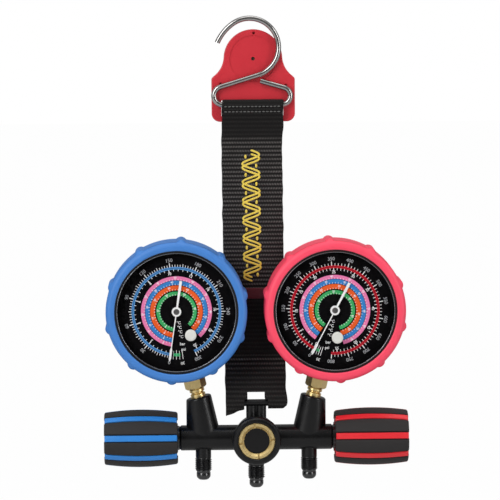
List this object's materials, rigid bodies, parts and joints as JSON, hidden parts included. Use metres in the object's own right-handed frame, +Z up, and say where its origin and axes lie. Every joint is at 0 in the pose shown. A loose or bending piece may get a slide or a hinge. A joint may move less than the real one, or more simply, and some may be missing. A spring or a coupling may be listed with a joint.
{
  "type": "refrigerant manifold gauge",
  "caption": "Valve manifold with compound and high-pressure dial gauges in rubber boots, flare ports, sight glass, barrel knobs, and a hanging strap with wire hook and magnet plate.",
  "frame": {"origin": "inside of the hook's crown, over the manifold's middle plane, where it bears on whatever carries it", "axes": "+X along the manifold bar towards the high-pressure side, +Y away from the reader of the dials, +Z up"},
  "size_m": [0.1994, 0.0473, 0.3094],
  "materials": {
    "steel_wire": "polished stainless wire",
    "webbing": "ribbed woven webbing",
    "tab_fabric": "woven tab",
    "red_plastic": "satin moulded",
    "zinc_steel": "zinc plated",
    "ferrite": "sintered",
    "rivet_steel": "plated",
    "black_aluminium": "satin black anodised",
    "black_steel": "satin black",
    "black_fitting": "satin black",
    "brass": "turned",
    "brass_socket": "turned and milled",
    "sight_glass": "polished",
    "seal_rubber": "matt",
    "valve_steel": "turned",
    "black_plastic": "satin moulded",
    "grip_rubber": "soft matt",
    "case_steel": "black enamel",
    "bezel_black": "gloss black",
    "lens_clear": "clear",
    "plug_white": "satin",
    "dial_black": "matt printed",
    "pointer_white": "matt white",
    "tube_bronze": "drawn bronze",
    "blue_plastic_knob": "satin moulded",
    "red_plastic_knob": "satin moulded",
    "blue_rubber": "satin",
    "red_rubber": "satin"
  },
  "bodies": {
    "hook": {"hook": "steel_wire"},
    "hanger": {"strap": "webbing", "strap_tab": "tab_fabric", "hanger_plate": "red_plastic", "magnet_cup": "zinc_steel", "magnet_ring": "ferrite", "magnet_rivet": "rivet_steel"},
    "manifold": {"manifold_body": "black_aluminium", "tee_bar": "black_steel", "low_port": "black_fitting", "high_port": "black_fitting", "centre_port": "black_fitting", "sight_ring": "brass", "sight_glass": "sight_glass", "sight_seal": "seal_rubber", "low_bonnet": "black_fitting", "low_stem_seal": "seal_rubber", "low_boot": "blue_rubber", "low_case": "case_steel", "low_bezel": "bezel_black", "low_lens": "lens_clear", "low_lens_plug": "plug_white", "low_lens_seal": "seal_rubber", "low_dial": "dial_black", "low_bourdon_tube": "tube_bronze", "low_movement_frame": "brass", "low_socket": "brass_socket", "high_bonnet": "black_fitting", "high_stem_seal": "seal_rubber", "high_boot": "red_rubber", "high_case": "case_steel", "high_bezel": "bezel_black", "high_lens": "lens_clear", "high_lens_plug": "plug_white", "high_lens_seal": "seal_rubber", "high_dial": "dial_black", "high_bourdon_tube": "tube_bronze", "high_movement_frame": "brass", "high_socket": "brass_socket"},
    "low_piston": {"low_piston": "brass"},
    "low_knob": {"low_stem": "valve_steel", "low_knob_core": "blue_plastic_knob", "low_knob_grip": "grip_rubber", "low_knob_cap": "black_plastic", "low_knob_screw": "valve_steel"},
    "low_pointer": {"low_pointer": "pointer_white", "low_pinion": "valve_steel"},
    "low_sector": {"low_sector": "brass"},
    "low_link": {"low_link": "brass"},
    "high_piston": {"high_piston": "brass"},
    "high_knob": {"high_stem": "valve_steel", "high_knob_core": "red_plastic_knob", "high_knob_grip": "grip_rubber", "high_knob_cap": "black_plastic", "high_knob_screw": "valve_steel"},
    "high_pointer": {"high_pointer": "pointer_white", "high_pinion": "valve_steel"},
    "high_sector": {"high_sector": "brass"},
    "high_link": {"high_link": "brass"}
  },
  "joints": [
    {"name": "strap_swing", "type": "hinge", "parent": "hook", "child": "hanger", "pos_m": [0, 0, -0.0547], "axis": [1, 0, 0], "range_deg": [-150, 0]},
    {"name": "manifold_swing", "type": "hinge", "parent": "hanger", "child": "manifold", "pos_m": [0, -0.0195, -0.2491], "axis": [1, 0, 0], "range_deg": [0, 60]},
    {"name": "low_piston_travel", "type": "slide", "parent": "manifold", "child": "low_piston", "axis": [-1, 0, 0], "range_m": [0, 0.0025]},
    {"name": "low_knob_turn", "type": "hinge", "parent": "low_piston", "child": "low_knob", "pos_m": [0, -0.015, -0.2727], "axis": [-1, 0, 0], "range_deg": [0, 720]},
    {"name": "low_pointer_turn", "type": "hinge", "parent": "manifold", "child": "low_pointer", "pos_m": [-0.05164, -0.015, -0.18779], "axis": [0, 1, 0], "range_deg": [-10, 327], "stiffness_Nm_per_rad": 0.0004},
    {"name": "low_sector_turn", "type": "hinge", "parent": "manifold", "child": "low_sector", "pos_m": [-0.04776, -0.015, -0.20383], "axis": [0, 1, 0], "range_deg": [-34, 2]},
    {"name": "low_link_turn", "type": "hinge", "parent": "low_sector", "child": "low_link", "pos_m": [-0.05442, -0.015, -0.20826], "axis": [0, 1, 0], "range_deg": [-2, 34]},
    {"name": "high_piston_travel", "type": "slide", "parent": "manifold", "child": "high_piston", "axis": [1, 0, 0], "range_m": [0, 0.0025]},
    {"name": "high_knob_turn", "type": "hinge", "parent": "high_piston", "child": "high_knob", "pos_m": [0, -0.015, -0.2727], "axis": [1, 0, 0], "range_deg": [0, 720]},
    {"name": "high_pointer_turn", "type": "hinge", "parent": "manifold", "child": "high_pointer", "pos_m": [0.05164, -0.015, -0.18779], "axis": [0, 1, 0], "range_deg": [-5, 335], "stiffness_Nm_per_rad": 0.0004},
    {"name": "high_sector_turn", "type": "hinge", "parent": "manifold", "child": "high_sector", "pos_m": [0.04776, -0.015, -0.20383], "axis": [0, 1, 0], "range_deg": [-34, 2]},
    {"name": "high_link_turn", "type": "hinge", "parent": "high_sector", "child": "high_link", "pos_m": [0.03981, -0.015, -0.20472], "axis": [0, 1, 0], "range_deg": [-2, 34]}
  ],
  "couplings": [
    {"joint": "low_knob_turn", "follows": "low_piston_travel", "rad_per_m": 5026.5},
    {"joint": "low_sector_turn", "follows": "low_pointer_turn", "ratio": -0.1},
    {"joint": "low_link_turn", "follows": "low_pointer_turn", "ratio": 0.1},
    {"joint": "high_knob_turn", "follows": "high_piston_travel", "rad_per_m": 5026.5},
    {"joint": "high_sector_turn", "follows": "high_pointer_turn", "ratio": -0.1},
    {"joint": "high_link_turn", "follows": "high_pointer_turn", "ratio": 0.1}
  ]
}
